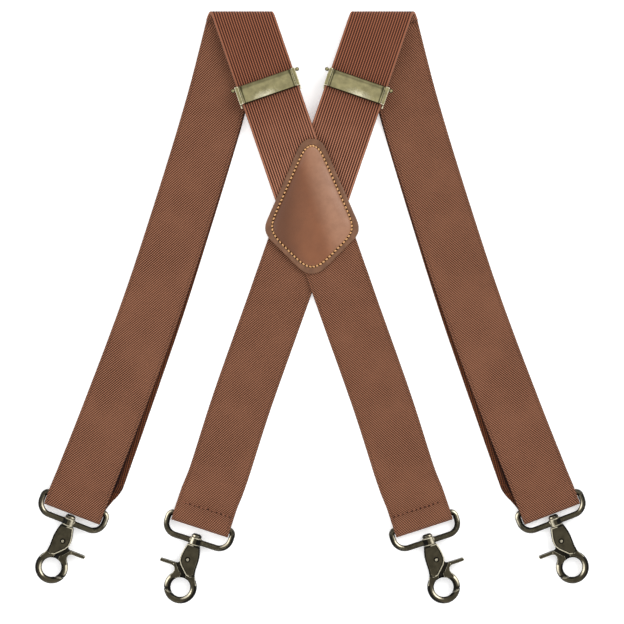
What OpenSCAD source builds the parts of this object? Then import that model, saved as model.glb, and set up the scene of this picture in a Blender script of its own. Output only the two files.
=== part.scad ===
/* [Webbing] */
// Width of the webbing
strap_w = 37.5; // [36:0.5:38]
// Thickness of the webbing
strap_t = 1.5; // [1.3:0.1:1.5]
// Free gap between layers that lie on each other
layer_gap = 0.3; // [0.3:0.05:0.4]

/* [Layout] */
// Height of the shoulder creases above the origin
crease_y = 186.6; // [180:0.2:195]
// Distance of each crease's middle from the centre line
crease_x = 44.8; // [42:0.2:48]
// Sideways run of the upper straps for each millimetre of length
upper_slope = 0.343; // [0.33:0.005:0.36]
// Height of the line where upper and lower straps meet under the patch
meet_y = 60; // [55:1:65]
// Distance of each adjuster's middle from the centre line
adjuster_x = 27.9; // [27.5:0.1:28.5]
// Height of each adjuster's middle above the origin
adjuster_y = 138.2; // [136:0.2:140]

/* [Hooks] */
// Collar of the front hooks: distance from the centre line
front_collar_x = 153.3; // [152:0.1:155]
// Collar of the front hooks: height, below the origin
front_collar_y = -135.2; // [-137:0.1:-133]
// Turn of the front hooks away from straight down
front_turn = 21; // [20:0.5:22]
// Collar of the back hooks: distance from the centre line
back_collar_x = 73.6; // [72:0.1:75]
// Collar of the back hooks: height, below the origin
back_collar_y = -147.3; // [-149:0.1:-146]
// Turn of the back hooks away from straight down
back_turn = 18; // [17:0.5:19]
// Outer width of the swivel loop
loop_w = 45.8; // [45.6:0.1:47]
// Distance between the loop's two bars, centre to centre
loop_h = 13.2; // [13.2:0.1:14]
// Diameter of the loop's wire
wire_d = 3.7; // [3.4:0.1:3.8]
// Diameter of the collar
collar_d = 7.6; // [7.6:0.1:8]
// Outer radius of the snap ring
ring_r = 10.4; // [10.2:0.1:10.6]
// Radius of the snap ring's hole
ring_hole_r = 6.15; // [6:0.05:6.3]
// Distance from the collar's middle to the snap ring's middle
ring_drop = 30.4; // [30:0.1:31]
// Length of the thumb tab beyond the hook's axis
tab_reach = 17.7; // [16:0.1:19]

/* [Adjusters] */
// Outer width of the adjuster's frame
adjuster_w = 39.9; // [39.9:0.1:41]
// Width of the toothed cover flap
flap_w = 33.4; // [32:0.2:34]

/* [Patch] */
// Height of the patch's top end
patch_top = 106; // [104:0.5:107]
// Height of the patch's bottom end
patch_bottom = 21.2; // [20:0.2:23]
// Half the width of the patch at its widest
patch_half_w = 29.5; // [28:0.5:31]
// Thickness of the leather
leather_t = 1.4; // [1.2:0.1:1.4]
// Rise of the padded middle above the margin
dome_h = 3.2; // [2:0.2:4]

/* [Hidden] */
$fn = 48;

webbing_colour = [0.53, 0.33, 0.26];
ribbed_colour = [0.47, 0.28, 0.22];
leather_colour = [0.52, 0.35, 0.25];
thread_colour = [0.78, 0.62, 0.42];
bronze_colour = [0.33, 0.31, 0.24];
brass_colour = [0.58, 0.54, 0.37];
steel_colour = [0.6, 0.6, 0.62];

// Small steps that keep separate solids apart
cut_gap = 0.05;
pin_play = 0.05;
half_t = strap_t / 2;
layer = strap_t + layer_gap;
floor_level = half_t;
hook_z = collar_d / 2;
fold_top = 2 * hook_z - half_t;
fold_r = hook_z - half_t;
return_level = floor_level + layer;
patch_under = leather_t + layer_gap + half_t;
patch_over = patch_under + layer;

// The adjuster's stack, from the tail's lower layer up to the pin
tail_low = return_level + layer;
bar_t = 1;
rear_bar_z = tail_low + half_t + layer_gap;
tail_high = rear_bar_z + bar_t + layer_gap + half_t;
run_level = tail_high + layer;
crease_r = (run_level - floor_level) / 2;
crease_z = floor_level + crease_r;
crease_axis_y = crease_y - crease_r - half_t;
crease_half_arc = PI * crease_r / 2;
upper_turn = atan(upper_slope);
skew_half_w = strap_w / 2 / cos(upper_turn);

// ---------- vectors, curves and ribbons ----------
function unit(v) = v / norm(v);
function mix(a, b, k) = a + (b - a) * k;
function ease(a, b, x) = let (k = min(1, max(0, (x - a) / (b - a)))) k * k * (3 - 2 * k);
function steps(a, b, n) = [for (i = [0:n]) mix(a, b, i / n)];
function at(p, i) = p[min(len(p) - 1, max(0, i))];

// Smooth curve through the points p, by Catmull-Rom pieces of n steps
function curve(p, n) = concat(
  [for (i = [0:len(p) - 2]) for (j = [0:n - 1]) let (
    k = j / n,
    a = i == 0 ? 2 * p[0] - p[1] : p[i - 1],
    d = i == len(p) - 2 ? 2 * p[i + 1] - p[i] : p[i + 2]
  ) 0.5 * (2 * p[i] + (p[i + 1] - a) * k + (2 * a - 5 * p[i] + 4 * p[i + 1] - d) * k * k
    + (3 * p[i] - a - 3 * p[i + 1] + d) * k * k * k)],
  [p[len(p) - 1]]
);

// A ribbon of webbing through centre points c, with half-width vectors w
module ribbon(c, w) {
  n = len(c);
  up = [for (i = [0:n - 1]) unit(cross(at(c, i + 1) - at(c, i - 1), w[i])) * half_t];
  points = [for (i = [0:n - 1]) each [c[i] - w[i] - up[i], c[i] + w[i] - up[i],
    c[i] + w[i] + up[i], c[i] - w[i] + up[i]]];
  sides = [for (i = [0:n - 2]) for (k = [0:3]) let (a = 4 * i + k, b = 4 * i + (k + 1) % 4)
    each [[a, a + 4, b + 4], [a, b + 4, b]]];
  last = 4 * (n - 1);
  ends = [[0, 1, 2], [0, 2, 3], [last + 2, last + 1, last], [last + 3, last + 2, last]];
  polyhedron(points = points, faces = concat(ends, sides), convexity = 6);
}

module on_side(side) {
  if (side < 0) children();
  else mirror([1, 0, 0]) children();
}

// ---------- straps, drawn for the left side ----------
// Height of the upper run: over is 1 for the strap that crosses on top, else 0
function upper_level(y, over) =
  mix(patch_over, run_level, ease(86, 113, y)) - (1 - over) * layer * (1 - ease(113, 119.5, y));
function lower_level(y, over) =
  mix(floor_level, patch_under, ease(8, 19, y)) + over * layer * ease(-4, 8, y);
function upper_x(y) = -crease_x + upper_slope * (crease_half_arc + crease_axis_y - y);

module upper_strap(over) {
  ys = steps(meet_y + cut_gap, crease_axis_y, 40);
  run = [for (y = ys) [upper_x(y), y, upper_level(y, over)]];
  bend = [for (a = steps(90, -90, 14)) if (a < 90) [
    -crease_x + upper_slope * crease_half_arc * a / 90,
    crease_axis_y + crease_r * cos(a),
    crease_z + crease_r * sin(a)
  ]];
  c = concat(run, bend);
  color(ribbed_colour) ribbon(c, [for (p = c) [-skew_half_w, 0, 0]]);
}

// Direction up a hook's axis, and a point on that axis, s above the collar's middle
function axis_up(turn) = [sin(turn), cos(turn)];
function axis_point(x, y, turn, s) = [-x, y] + s * axis_up(turn);
function cut_vector(turn, half) = [cos(turn), -sin(turn), 0] * half;

front_fold = 5.1;
back_fold = 8.3;
fold_axis = fold_r + half_t;
front_start = [upper_x(crease_axis_y) - 2 * upper_slope * crease_half_arc, crease_axis_y - cut_gap];
front_route = [front_start, [-61.5, 126], [-81, 62], [-102, -1.5], [-126, -65.5],
  axis_point(front_collar_x, front_collar_y, front_turn, 30),
  axis_point(front_collar_x, front_collar_y, front_turn, 20),
  axis_point(front_collar_x, front_collar_y, front_turn, front_fold + fold_axis)];
front_line = curve(front_route, 7);

// Distance up the front hook's axis of a point on the front strap
function front_s(p) = (p - [-front_collar_x, front_collar_y]) * axis_up(front_turn);
function run_turn(line, i) = let (d = at(line, i - 1) - at(line, i + 1)) atan2(d[0], d[1]);
function front_cut(i) = let (
  turn = run_turn(front_line, i),
  cut = turn * ease(0, 14, i)
) cut_vector(cut, strap_w / 2 / cos(turn - cut));

// The outer run lies a little inward of the return run, most of all just above the hook
outer_shift = 4.8;
function shift_at(i) = let (p = front_line[i], k = (crease_axis_y - p[1]) / 290)
  outer_shift * pow(k, 3) * ease(17, 44, front_s(p));

module front_strap() {
  n = len(front_line) - 1;
  cuts = [for (i = [0:n]) front_cut(i)];
  run = [for (i = [0:n]) let (p = front_line[i] + shift_at(i) * [cos(front_turn), -sin(front_turn)])
    [p[0], p[1], floor_level]];
  bend = fold_bend(front_collar_x, front_collar_y, front_turn, front_fold);
  all_cuts = concat(cuts, [for (p = bend) cut_vector(front_turn, strap_w / 2)]);
  color(webbing_colour) ribbon(concat(run, bend), all_cuts);
}

// The half turn of webbing below a loop's top bar, from the lower layer to the upper one
function fold_bend(x, y, turn, fold) = [for (a = steps(-90, 90, 12)) if (a > -90) let (
  p = axis_point(x, y, turn, fold + fold_axis - fold_r * cos(a))
) [p[0], p[1], hook_z + fold_r * sin(a)]];

return_r = layer / 2;
return_axis_y = crease_axis_y - 1.6;

module return_strap() {
  n = len(front_line) - 1;
  keep = [for (i = [0:n]) if (front_line[i][1] < return_axis_y - 2) i];
  run = [for (i = keep) let (p = front_line[i], s = front_s(p))
    [p[0], p[1], mix(return_level, fold_top, 1 - ease(16, 29, s))]];
  last = len(run) - 1;
  top_of_fold = run[last] + [0.05 * sin(front_turn), 0.05 * cos(front_turn), 0];
  trimmed = [for (i = [0:last]) i < last ? run[i] : top_of_fold];
  x0 = front_start[0];
  bend = [for (a = steps(90, -90, 8)) [
    x0 + upper_slope * (1 + a / 90),
    return_axis_y + return_r * cos(a),
    return_level + return_r + return_r * sin(a)
  ]];
  color(webbing_colour) ribbon(
    concat(bend, trimmed),
    concat([for (p = bend) [skew_half_w, 0, 0]], [for (i = keep) front_cut(i)])
  );
}

lower_start = [-2.05, meet_y - cut_gap];
lower_route = [lower_start, [-21.5, 4.7], [-43.9, -58.4],
  axis_point(back_collar_x, back_collar_y, back_turn, 45) + [1, 0],
  axis_point(back_collar_x, back_collar_y, back_turn, 27),
  axis_point(back_collar_x, back_collar_y, back_turn, back_fold + fold_axis)];
lower_line = curve(lower_route, 11);
hem_length = 22;
hem_end = back_fold + hem_length;

function back_s(p) = (p - [-back_collar_x, back_collar_y]) * axis_up(back_turn);
function hem_level(s) = mix(
  mix(fold_top, return_level, ease(15.3, 22.5, s)), floor_level, ease(hem_end + 1, hem_end + 11, s));
function lower_cut(i) = let (
  turn = run_turn(lower_line, i),
  cut = turn * ease(0, 20, i)
) cut_vector(cut, strap_w / 2 / cos(turn - cut));

module lower_strap(over) {
  n = len(lower_line) - 1;
  run = [for (i = [0:n]) let (p = lower_line[i], s = back_s(p))
    [p[0], p[1], p[1] > -30 ? lower_level(p[1], over) : hem_level(s)]];
  bend = fold_bend(back_collar_x, back_collar_y, back_turn, back_fold);
  turned = [for (i = [len(bend) - 2:-1:0]) bend[i]];
  hem = [for (s = steps(back_fold + fold_axis, hem_end, 3))
    let (p = axis_point(back_collar_x, back_collar_y, back_turn, s)) [p[0], p[1], floor_level]];
  c = concat(run, turned, hem);
  cuts = concat([for (i = [0:n]) lower_cut(i)],
    [for (i = [1:len(turned) + len(hem)]) cut_vector(back_turn, strap_w / 2)]);
  color(webbing_colour) ribbon(c, cuts);
}

// A row of stitches across the left lower strap, seen from above
module hem_stitching() {
  seam_s = 21.5;
  pitch = 2.9;
  count = 11;
  color(thread_colour) for (i = [0:count - 1]) {
    u = (i - (count - 1) / 2) * pitch;
    p = axis_point(back_collar_x, back_collar_y, back_turn, seam_s);
    translate([p[0], p[1], hem_level(seam_s) + half_t + 0.45])
      rotate([0, 0, -back_turn])
        translate([u - 0.9, 0, 0])
          rotate([0, 90, 0]) cylinder(d = 0.6, h = 1.8, $fn = 16);
  }
}

// ---------- adjuster, in its own frame: +Y up the strap, Z from the floor ----------
module place_adjuster() {
  translate([-adjuster_x, adjuster_y, 0]) rotate([0, 0, upper_turn]) children();
}

rear_bar_v = 2;
rear_bar_w = 3;
tail_fold_r = (tail_high - tail_low) / 2;
tail_top_v = 42.6;

module strap_tail() {
  flat = steps(tail_top_v, rear_bar_v, 12);
  lower_c = [for (v = flat) [0, v, tail_low]];
  bend = [for (a = steps(-90, 90, 10)) if (a > -90)
    [0, rear_bar_v - tail_fold_r * cos(a), tail_low + tail_fold_r + tail_fold_r * sin(a)]];
  upper_c = [for (v = steps(rear_bar_v, 16, 8)) if (v > rear_bar_v)
    [0, v, mix(tail_high, tail_low + layer, ease(5.6, 13, v))]];
  c = concat(lower_c, bend, upper_c);
  lean = [for (p = c) p[2] < tail_low + 0.01 ? tan(upper_turn) * ease(18, 40, p[1]) : 0];
  color(webbing_colour) place_adjuster()
    ribbon(c, [for (k = lean) [1, -k, 0] * strap_w / 2]);
}

module tail_stitching() {
  pitch = 2.9;
  count = 11;
  color(thread_colour) place_adjuster() for (i = [0:count - 1])
    translate([(i - (count - 1) / 2) * pitch - 0.9, 14.2, tail_low + layer + half_t + 0.45])
      rotate([0, 90, 0]) cylinder(d = 0.6, h = 1.8, $fn = 16);
}

frame_t = 0.9;
frame_low_v = -5.2;
frame_high_v = 6.3;
pin_v = 4.7;
pin_d = 1.6;
barrel_r = 1.45;
run_top = run_level + half_t;
pin_z = run_top + 0.25 + barrel_r;
flap_top = pin_z + barrel_r;
rail_in = flap_w / 2 + 0.9;
cheek_in = adjuster_w / 2 - frame_t;

module adjuster_frame() {
  long = frame_high_v - frame_low_v;
  tip_z = run_level - half_t - 1.3;
  color(brass_colour) place_adjuster() difference() {
    union() {
      translate([-adjuster_w / 2 + 0.1, rear_bar_v, rear_bar_z])
        cube([adjuster_w - 0.2, rear_bar_w, bar_t]);
      translate([-adjuster_w / 2 + 0.1, frame_low_v, run_level - half_t - layer_gap - bar_t])
        cube([adjuster_w - 0.2, 2.4, bar_t]);
      for (side = [-1, 1]) {
        translate([side * (cheek_in + frame_t / 2) - frame_t / 2, frame_low_v, rear_bar_z])
          cube([frame_t, long, flap_top - rear_bar_z]);
        translate([side * (cheek_in + frame_t / 2) - frame_t / 2, frame_low_v - 2.2, tip_z])
          cube([frame_t, 2.3, 1.6]);
        translate([side > 0 ? rail_in : -adjuster_w / 2, frame_low_v, flap_top - frame_t])
          cube([adjuster_w / 2 - rail_in, long, frame_t]);
      }
    }
    translate([-30, pin_v, pin_z]) rotate([0, 90, 0]) cylinder(d = pin_d + 2 * pin_play, h = 60);
  }
}

module adjuster_flap() {
  lip_v = frame_low_v + 0.1;
  teeth = 14;
  pitch = flap_w / teeth;
  lip_low = run_top + layer_gap;
  outline = concat(
    [[flap_w / 2, flap_top], [-flap_w / 2, flap_top]],
    [for (i = [0:teeth - 1]) each [
      [-flap_w / 2 + i * pitch, lip_low + 0.9],
      [-flap_w / 2 + (i + 0.5) * pitch, lip_low]
    ]],
    [[flap_w / 2, lip_low + 0.9]]
  );
  color(brass_colour) place_adjuster() difference() {
    union() {
      translate([-flap_w / 2, lip_v, flap_top - frame_t]) cube([flap_w, pin_v - lip_v, frame_t]);
      translate([-flap_w / 2, pin_v, pin_z]) rotate([0, 90, 0]) cylinder(r = barrel_r, h = flap_w);
      translate([0, lip_v + frame_t, 0]) rotate([90, 0, 0]) linear_extrude(frame_t) polygon(outline);
    }
    translate([-30, pin_v, pin_z]) rotate([0, 90, 0]) cylinder(d = pin_d + 2 * pin_play, h = 60);
  }
}

module hinge_pin() {
  shaft = adjuster_w + 0.8;
  color(brass_colour) place_adjuster() translate([0, pin_v, pin_z]) {
    translate([-shaft / 2, 0, 0]) rotate([0, 90, 0]) cylinder(d = pin_d, h = shaft);
    for (side = [-1, 1]) translate([side * (adjuster_w / 2 + 1.3), 0, 0]) sphere(d = 2.5);
  }
}

// ---------- patch ----------
top_r = 9;
side_r = 9;
bottom_r = 11;
patch_wide_y = 50;
function tangent_angle(a, ra, b, rb) = let (d = b - a)
  atan2(d[1], d[0]) + acos((ra - rb) / norm(d));

// Right half of the rounded kite, from its top round to its bottom, drawn inset by e
function kite_half(e) = let (
  t = [0, patch_top - top_r],
  s = [patch_half_w - side_r, patch_wide_y],
  b = [0, patch_bottom + bottom_r],
  n1 = tangent_angle(t, top_r, s, side_r),
  n2 = tangent_angle(s, side_r, b, bottom_r),
  top_arc = [for (a = steps(90, n1, 5)) t + (top_r - e) * [cos(a), sin(a)]],
  side_arc = [for (a = steps(n1, n2, 8)) s + (side_r - e) * [cos(a), sin(a)]],
  bottom_arc = [for (a = steps(n2, -90, 5)) b + (bottom_r - e) * [cos(a), sin(a)]],
  upper_edge = [for (k = [1:4]) mix(top_arc[5], side_arc[0], k / 5)],
  lower_edge = [for (k = [1:3]) mix(side_arc[8], bottom_arc[0], k / 4)]
) concat(top_arc, upper_edge, side_arc, lower_edge, bottom_arc);

function kite(e) = let (h = kite_half(e), n = len(h))
  concat(h, [for (i = [n - 2:-1:1]) [-h[i][0], h[i][1]]]);
patch_middle = [0, 58];
function kite_scaled(e, k) = [for (p = kite(e)) patch_middle + (p - patch_middle) * k];
function patch_base(y) = upper_level(max(y, meet_y), 1) + half_t + layer_gap;

stitch_inset = 4.4;
dome_scales = [0.93, 0.84, 0.7, 0.5, 0.25];
function dome(k) = dome_h * pow(1 - pow(k, 3), 0.75);

// Rings of points at height lift above the straps, from the rim inward
function cover_rings(lift) = concat(
  [for (e = [0, 2.2, stitch_inset]) [for (p = kite(e)) [p[0], p[1], patch_base(p[1]) + lift]]],
  [for (k = dome_scales) [for (p = kite_scaled(stitch_inset, k))
    [p[0], p[1], patch_base(p[1]) + lift + dome(k)]]]
);
function pad_rings(lift, rise) = [for (k = concat([0.93], dome_scales))
  [for (p = kite_scaled(stitch_inset, k * 0.97)) [p[0], p[1], patch_base(p[1]) + lift + rise * dome(k)]]];

// A closed shell between an upper and a lower stack of rings
module shell(top, under) {
  n = len(top[0]);
  m = len(top);
  flat_top = [for (r = top) each r];
  flat_under = [for (r = under) each r];
  points = concat(flat_top, flat_under, [top_centre(top), top_centre(under)]);
  below = n * m;
  skin = [for (r = [0:m - 2]) for (i = [0:n - 1]) let (a = r * n + i, b = r * n + (i + 1) % n)
    each [[a, b, b + n], [a, b + n, a + n],
      [a + below, b + n + below, b + below], [a + below, a + n + below, b + n + below]]];
  rim = [for (i = [0:n - 1]) let (j = (i + 1) % n)
    each [[i, i + below, j + below], [i, j + below, j]]];
  last = (m - 1) * n;
  caps = [for (i = [0:n - 1]) let (j = (i + 1) % n)
    each [[last + i, last + j, 2 * below], [last + i + below, 2 * below + 1, last + j + below]]];
  polyhedron(points = points, faces = concat(skin, rim, caps), convexity = 6);
}
function top_centre(rings) = [patch_middle[0], patch_middle[1], max([for (p = rings[len(rings) - 1]) p[2]])];

module patch_front() {
  color(leather_colour) shell(cover_rings(leather_t), cover_rings(0));
}

module patch_padding() {
  color("wheat") shell(pad_rings(-0.15, 0.85), pad_rings(-0.2, 0));
}

module patch_back() {
  color(leather_colour) linear_extrude(leather_t) polygon(kite(0));
}

// Distances round a closed line, and the point and heading at distance d along it
function rounds(line) = let (n = len(line)) [
  for (i = 0, d = 0; i <= n; d = d + norm(line[(i + 1) % n] - line[i % n]), i = i + 1) d
];
function place_on(line, marks, d) = let (
  n = len(line),
  i = max([for (j = [0:n - 1]) if (marks[j] <= d) j]),
  a = line[i],
  b = line[(i + 1) % n]
) [mix(a, b, (d - marks[i]) / (marks[i + 1] - marks[i])), atan2(b[1] - a[1], b[0] - a[0])];

module patch_stitching() {
  line = kite(stitch_inset);
  marks = rounds(line);
  around = marks[len(line)];
  count = 60;
  color(thread_colour) for (k = [0:count - 1]) {
    spot = place_on(line, marks, around * (k + 0.5) / count);
    p = spot[0];
    translate([p[0], p[1], patch_base(p[1]) + leather_t + 0.75])
      rotate([0, 0, spot[1]])
        translate([-0.7, 0, 0])
          rotate([0, 90, 0]) cylinder(d = 0.6, h = 1.4, $fn = 16);
  }
}

// ---------- hooks, in their own frame: collar at the origin, loop towards +Y ----------
module place_front() {
  translate([-front_collar_x, front_collar_y, hook_z])
    rotate([0, 0, -front_turn]) mirror([1, 0, 0]) children();
}

module place_back() {
  translate([-back_collar_x, back_collar_y, hook_z]) rotate([0, 0, -back_turn]) children();
}

collar_h = 4.6;
stem_d = 3.2;
lower_bend = 7.5;
upper_bend = 3;
loop_side = (loop_w - wire_d) / 2;

module arc(x, y, r, from) {
  translate([x, y, 0]) rotate([0, 0, from]) rotate_extrude(angle = 90) translate([r, 0]) circle(d = wire_d);
}

module loop() {
  color(bronze_colour) difference() {
    union() {
      translate([-loop_side + lower_bend, 0, 0])
        rotate([0, 90, 0]) cylinder(d = wire_d, h = 2 * (loop_side - lower_bend));
      translate([-loop_side + upper_bend, loop_h, 0])
        rotate([0, 90, 0]) cylinder(d = wire_d, h = 2 * (loop_side - upper_bend));
      for (x = [-loop_side, loop_side])
        translate([x, lower_bend, 0])
          rotate([-90, 0, 0]) cylinder(d = wire_d, h = loop_h - lower_bend - upper_bend);
      arc(loop_side - lower_bend, lower_bend, lower_bend, 270);
      arc(-loop_side + lower_bend, lower_bend, lower_bend, 180);
      arc(loop_side - upper_bend, loop_h - upper_bend, upper_bend, 0);
      arc(-loop_side + upper_bend, loop_h - upper_bend, upper_bend, 90);
      translate([0, -collar_h / 2, 0]) rotate([-90, 0, 0]) cylinder(d = collar_d, h = collar_h);
    }
    translate([0, -5, 0]) rotate([-90, 0, 0]) cylinder(d = stem_d + 2 * pin_play, h = 10);
  }
}

body_top = -2.65;
body_half_t = 3.2;
slot_half_t = 1.5;
web_half_t = 1.3;
gate_half_t = 2.1;
ring_wire = (ring_r - ring_hole_r) / 2;
ring_mid = (ring_r + ring_hole_r) / 2;
pivot = [-0.9, -12.3];
rivet_d = 2;
gate_reach = 23.2;
gate_play = 0.15;
function shank_half_w(y) = mix(4.1, 5.9, sin(90 * min(1, (body_top - y) / 9.4)));

module snap_ring() {
  translate([0, -ring_drop, 0]) rotate_extrude() translate([ring_mid, 0]) circle(r = ring_wire);
}

module slab(half) {
  translate([0, 0, -half]) linear_extrude(2 * half) children();
}

module hook() {
  shank_ys = steps(body_top, -12, 6);
  shank = concat(
    [for (y = shank_ys) [shank_half_w(y), y]],
    [[5.9, -18], [6.3, -20.6], [4.2, -22.6], [1.1, -22], [0.4, -21.3], [-1.7, -19.2],
      [-4.2, -16.6], [-5.6, -14.2]],
    [for (i = [6:-1:0]) [-shank_half_w(shank_ys[i]), shank_ys[i]]]
  );
  throat = [[1.1, -19], [5.9, -17.5], [6.3, -20.8], [7.7, -24], [9.3, -26.6], [7.2, -26.3],
    [4.1, -23.2], [1.1, -22.2]];
  slot = [[-9, -11.2], [-4.6, -8.6], [-0.9, -7.9], [2.6, -9.6], [3.2, -12.3], [2.9, -16], [2.2, -20],
    [1.9, -26], [-9, -26]];
  color(bronze_colour) difference() {
    union() {
      translate([0, body_top - 0.5, 0]) rotate([-90, 0, 0]) cylinder(d = stem_d, h = 5.7);
      translate([0, 2.5, 0]) rotate([-90, 0, 0]) cylinder(d = 6.4, h = 1.2);
      translate([0, 3.7, 0]) rotate([-90, 0, 0]) cylinder(d1 = 6.4, d2 = 4.4, h = 1);
      slab(body_half_t) polygon(shank);
      slab(gate_half_t) polygon(throat);
      difference() {
        snap_ring();
        slab(5) intersection() {
          translate(pivot) circle(r = gate_reach + gate_play);
          polygon([pivot, pivot + 40 * [cos(80), -sin(80)], [-40, -60], [-40, pivot[1]]]);
        }
      }
    }
    slab(slot_half_t) polygon(slot);
    translate([pivot[0], pivot[1], -5]) cylinder(d = rivet_d + 0.04, h = 10);
    for (z = [-body_half_t - 0.6, body_half_t - 0.4])
      translate([pivot[0], pivot[1], z]) cylinder(d = 3.3, h = 1);
  }
}

module trigger() {
  web = [pivot + [-3.3, 0.6], pivot + [3.1, -1.2], [-1.8, -22.9], [-3.4, -21.4], [-6.6, -17.6],
    [-7.4, -16.4], [-5.9, -15.9]];
  lever = [[-2.3, -25.2], [-2.3, -22.6], [-3.4, -21.4], [-6.6, -17.6], [-7.4, -16.3],
    [-tab_reach + 1, -16.3], [-tab_reach + 0.3, -16.6], [-tab_reach, -17.35], [-tab_reach + 0.3, -18.1],
    [-tab_reach + 1, -18.4], [-9.6, -18.4], [-8.2, -18.8], [-7.2, -19.8], [-6.9, -21.2], [-7.3, -22.9],
    [-8.6, -25.2], [-7.2, -26.3], [-5, -25.6]];
  color(bronze_colour) difference() {
    union() {
      slab(web_half_t) polygon(web);
      translate([pivot[0], pivot[1], -web_half_t]) cylinder(r = 3.4, h = 2 * web_half_t);
      slab(gate_half_t) difference() {
        polygon(lever);
        translate([0, -ring_drop]) circle(r = ring_hole_r + 0.4);
      }
      intersection() {
        snap_ring();
        slab(5) intersection() {
          translate(pivot) circle(r = gate_reach - gate_play);
          polygon([[-2.3, -21], [-2.3, -26], [-3, -40], [-20, -40], [-20, -21]]);
        }
      }
    }
    translate([pivot[0], pivot[1], -5]) cylinder(d = rivet_d + 2 * pin_play, h = 10);
    translate([pivot[0], pivot[1], 0.1]) cylinder(r = 3.7, h = 1.3);
    translate([pivot[0], pivot[1], 0.1]) rotate([0, 0, -118]) translate([0, -0.5, 0]) cube([6.2, 1, 1.3]);
  }
}

module rivet() {
  color(bronze_colour) translate([pivot[0], pivot[1], 0]) {
    translate([0, 0, -body_half_t]) cylinder(d = rivet_d, h = 2 * body_half_t);
    translate([0, 0, body_half_t]) cylinder(d1 = rivet_d, d2 = rivet_d - 0.7, h = 0.4);
    translate([0, 0, -body_half_t - 0.4]) cylinder(d1 = rivet_d - 0.7, d2 = rivet_d, h = 0.4);
  }
}

spring_wire_r = 0.22;
spring_coil_r = 1.75;
module spring_leg(from, length, turn, z) {
  translate([from[0], from[1], z]) rotate([0, 90, turn]) cylinder(r = spring_wire_r, h = length, $fn = 24);
}

module spring() {
  color(steel_colour) translate([pivot[0], pivot[1], 0]) {
    for (z = [0.5, 0.85]) translate([0, 0, z])
      rotate_extrude() translate([spring_coil_r, 0]) circle(r = spring_wire_r, $fn = 24);
    spring_leg([spring_coil_r, 0], 2.6, 90, 0.5);
    spring_leg([0.15, -spring_coil_r], 2.3, 180, 0.85);
  }
}

// ---------- the named sub-parts ----------
module left_upper_strap() { on_side(-1) upper_strap(1); }
module right_upper_strap() { on_side(1) upper_strap(0); }
module left_front_strap() { on_side(-1) front_strap(); }
module right_front_strap() { on_side(1) front_strap(); }
module left_return_strap() { on_side(-1) return_strap(); }
module right_return_strap() { on_side(1) return_strap(); }
module left_strap_tail() { on_side(-1) strap_tail(); }
module right_strap_tail() { on_side(1) strap_tail(); }
module left_lower_strap() { on_side(-1) lower_strap(0); }
module right_lower_strap() { on_side(1) lower_strap(1); }
module left_hem_stitching() { on_side(-1) hem_stitching(); }
module right_hem_stitching() { on_side(1) hem_stitching(); }
module left_tail_stitching() { on_side(-1) tail_stitching(); }
module right_tail_stitching() { on_side(1) tail_stitching(); }
module front_left_loop() { on_side(-1) place_front() loop(); }
module front_right_loop() { on_side(1) place_front() loop(); }
module back_left_loop() { on_side(-1) place_back() loop(); }
module back_right_loop() { on_side(1) place_back() loop(); }
module front_left_hook() { on_side(-1) place_front() hook(); }
module front_right_hook() { on_side(1) place_front() hook(); }
module back_left_hook() { on_side(-1) place_back() hook(); }
module back_right_hook() { on_side(1) place_back() hook(); }
module front_left_trigger() { on_side(-1) place_front() trigger(); }
module front_right_trigger() { on_side(1) place_front() trigger(); }
module back_left_trigger() { on_side(-1) place_back() trigger(); }
module back_right_trigger() { on_side(1) place_back() trigger(); }
module front_left_rivet() { on_side(-1) place_front() rivet(); }
module front_right_rivet() { on_side(1) place_front() rivet(); }
module back_left_rivet() { on_side(-1) place_back() rivet(); }
module back_right_rivet() { on_side(1) place_back() rivet(); }
module front_left_spring() { on_side(-1) place_front() spring(); }
module front_right_spring() { on_side(1) place_front() spring(); }
module back_left_spring() { on_side(-1) place_back() spring(); }
module back_right_spring() { on_side(1) place_back() spring(); }
module left_adjuster_frame() { on_side(-1) adjuster_frame(); }
module right_adjuster_frame() { on_side(1) adjuster_frame(); }
module left_adjuster_flap() { on_side(-1) adjuster_flap(); }
module right_adjuster_flap() { on_side(1) adjuster_flap(); }
module left_hinge_pin() { on_side(-1) hinge_pin(); }
module right_hinge_pin() { on_side(1) hinge_pin(); }

left_upper_strap();
right_upper_strap();
left_front_strap();
right_front_strap();
left_return_strap();
right_return_strap();
left_strap_tail();
right_strap_tail();
left_lower_strap();
right_lower_strap();
left_hem_stitching();
right_hem_stitching();
left_tail_stitching();
right_tail_stitching();
patch_front();
patch_padding();
patch_back();
patch_stitching();
front_left_loop();
front_right_loop();
back_left_loop();
back_right_loop();
front_left_hook();
front_right_hook();
back_left_hook();
back_right_hook();
front_left_trigger();
front_right_trigger();
back_left_trigger();
back_right_trigger();
front_left_rivet();
front_right_rivet();
back_left_rivet();
back_right_rivet();
front_left_spring();
front_right_spring();
back_left_spring();
back_right_spring();
left_adjuster_frame();
right_adjuster_frame();
left_adjuster_flap();
right_adjuster_flap();
left_hinge_pin();
right_hinge_pin();
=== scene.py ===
"""Webbing suspenders laid flat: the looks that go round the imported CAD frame."""

import math
import random

import bpy
import numpy as np
from mathutils import Matrix, Vector


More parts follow.
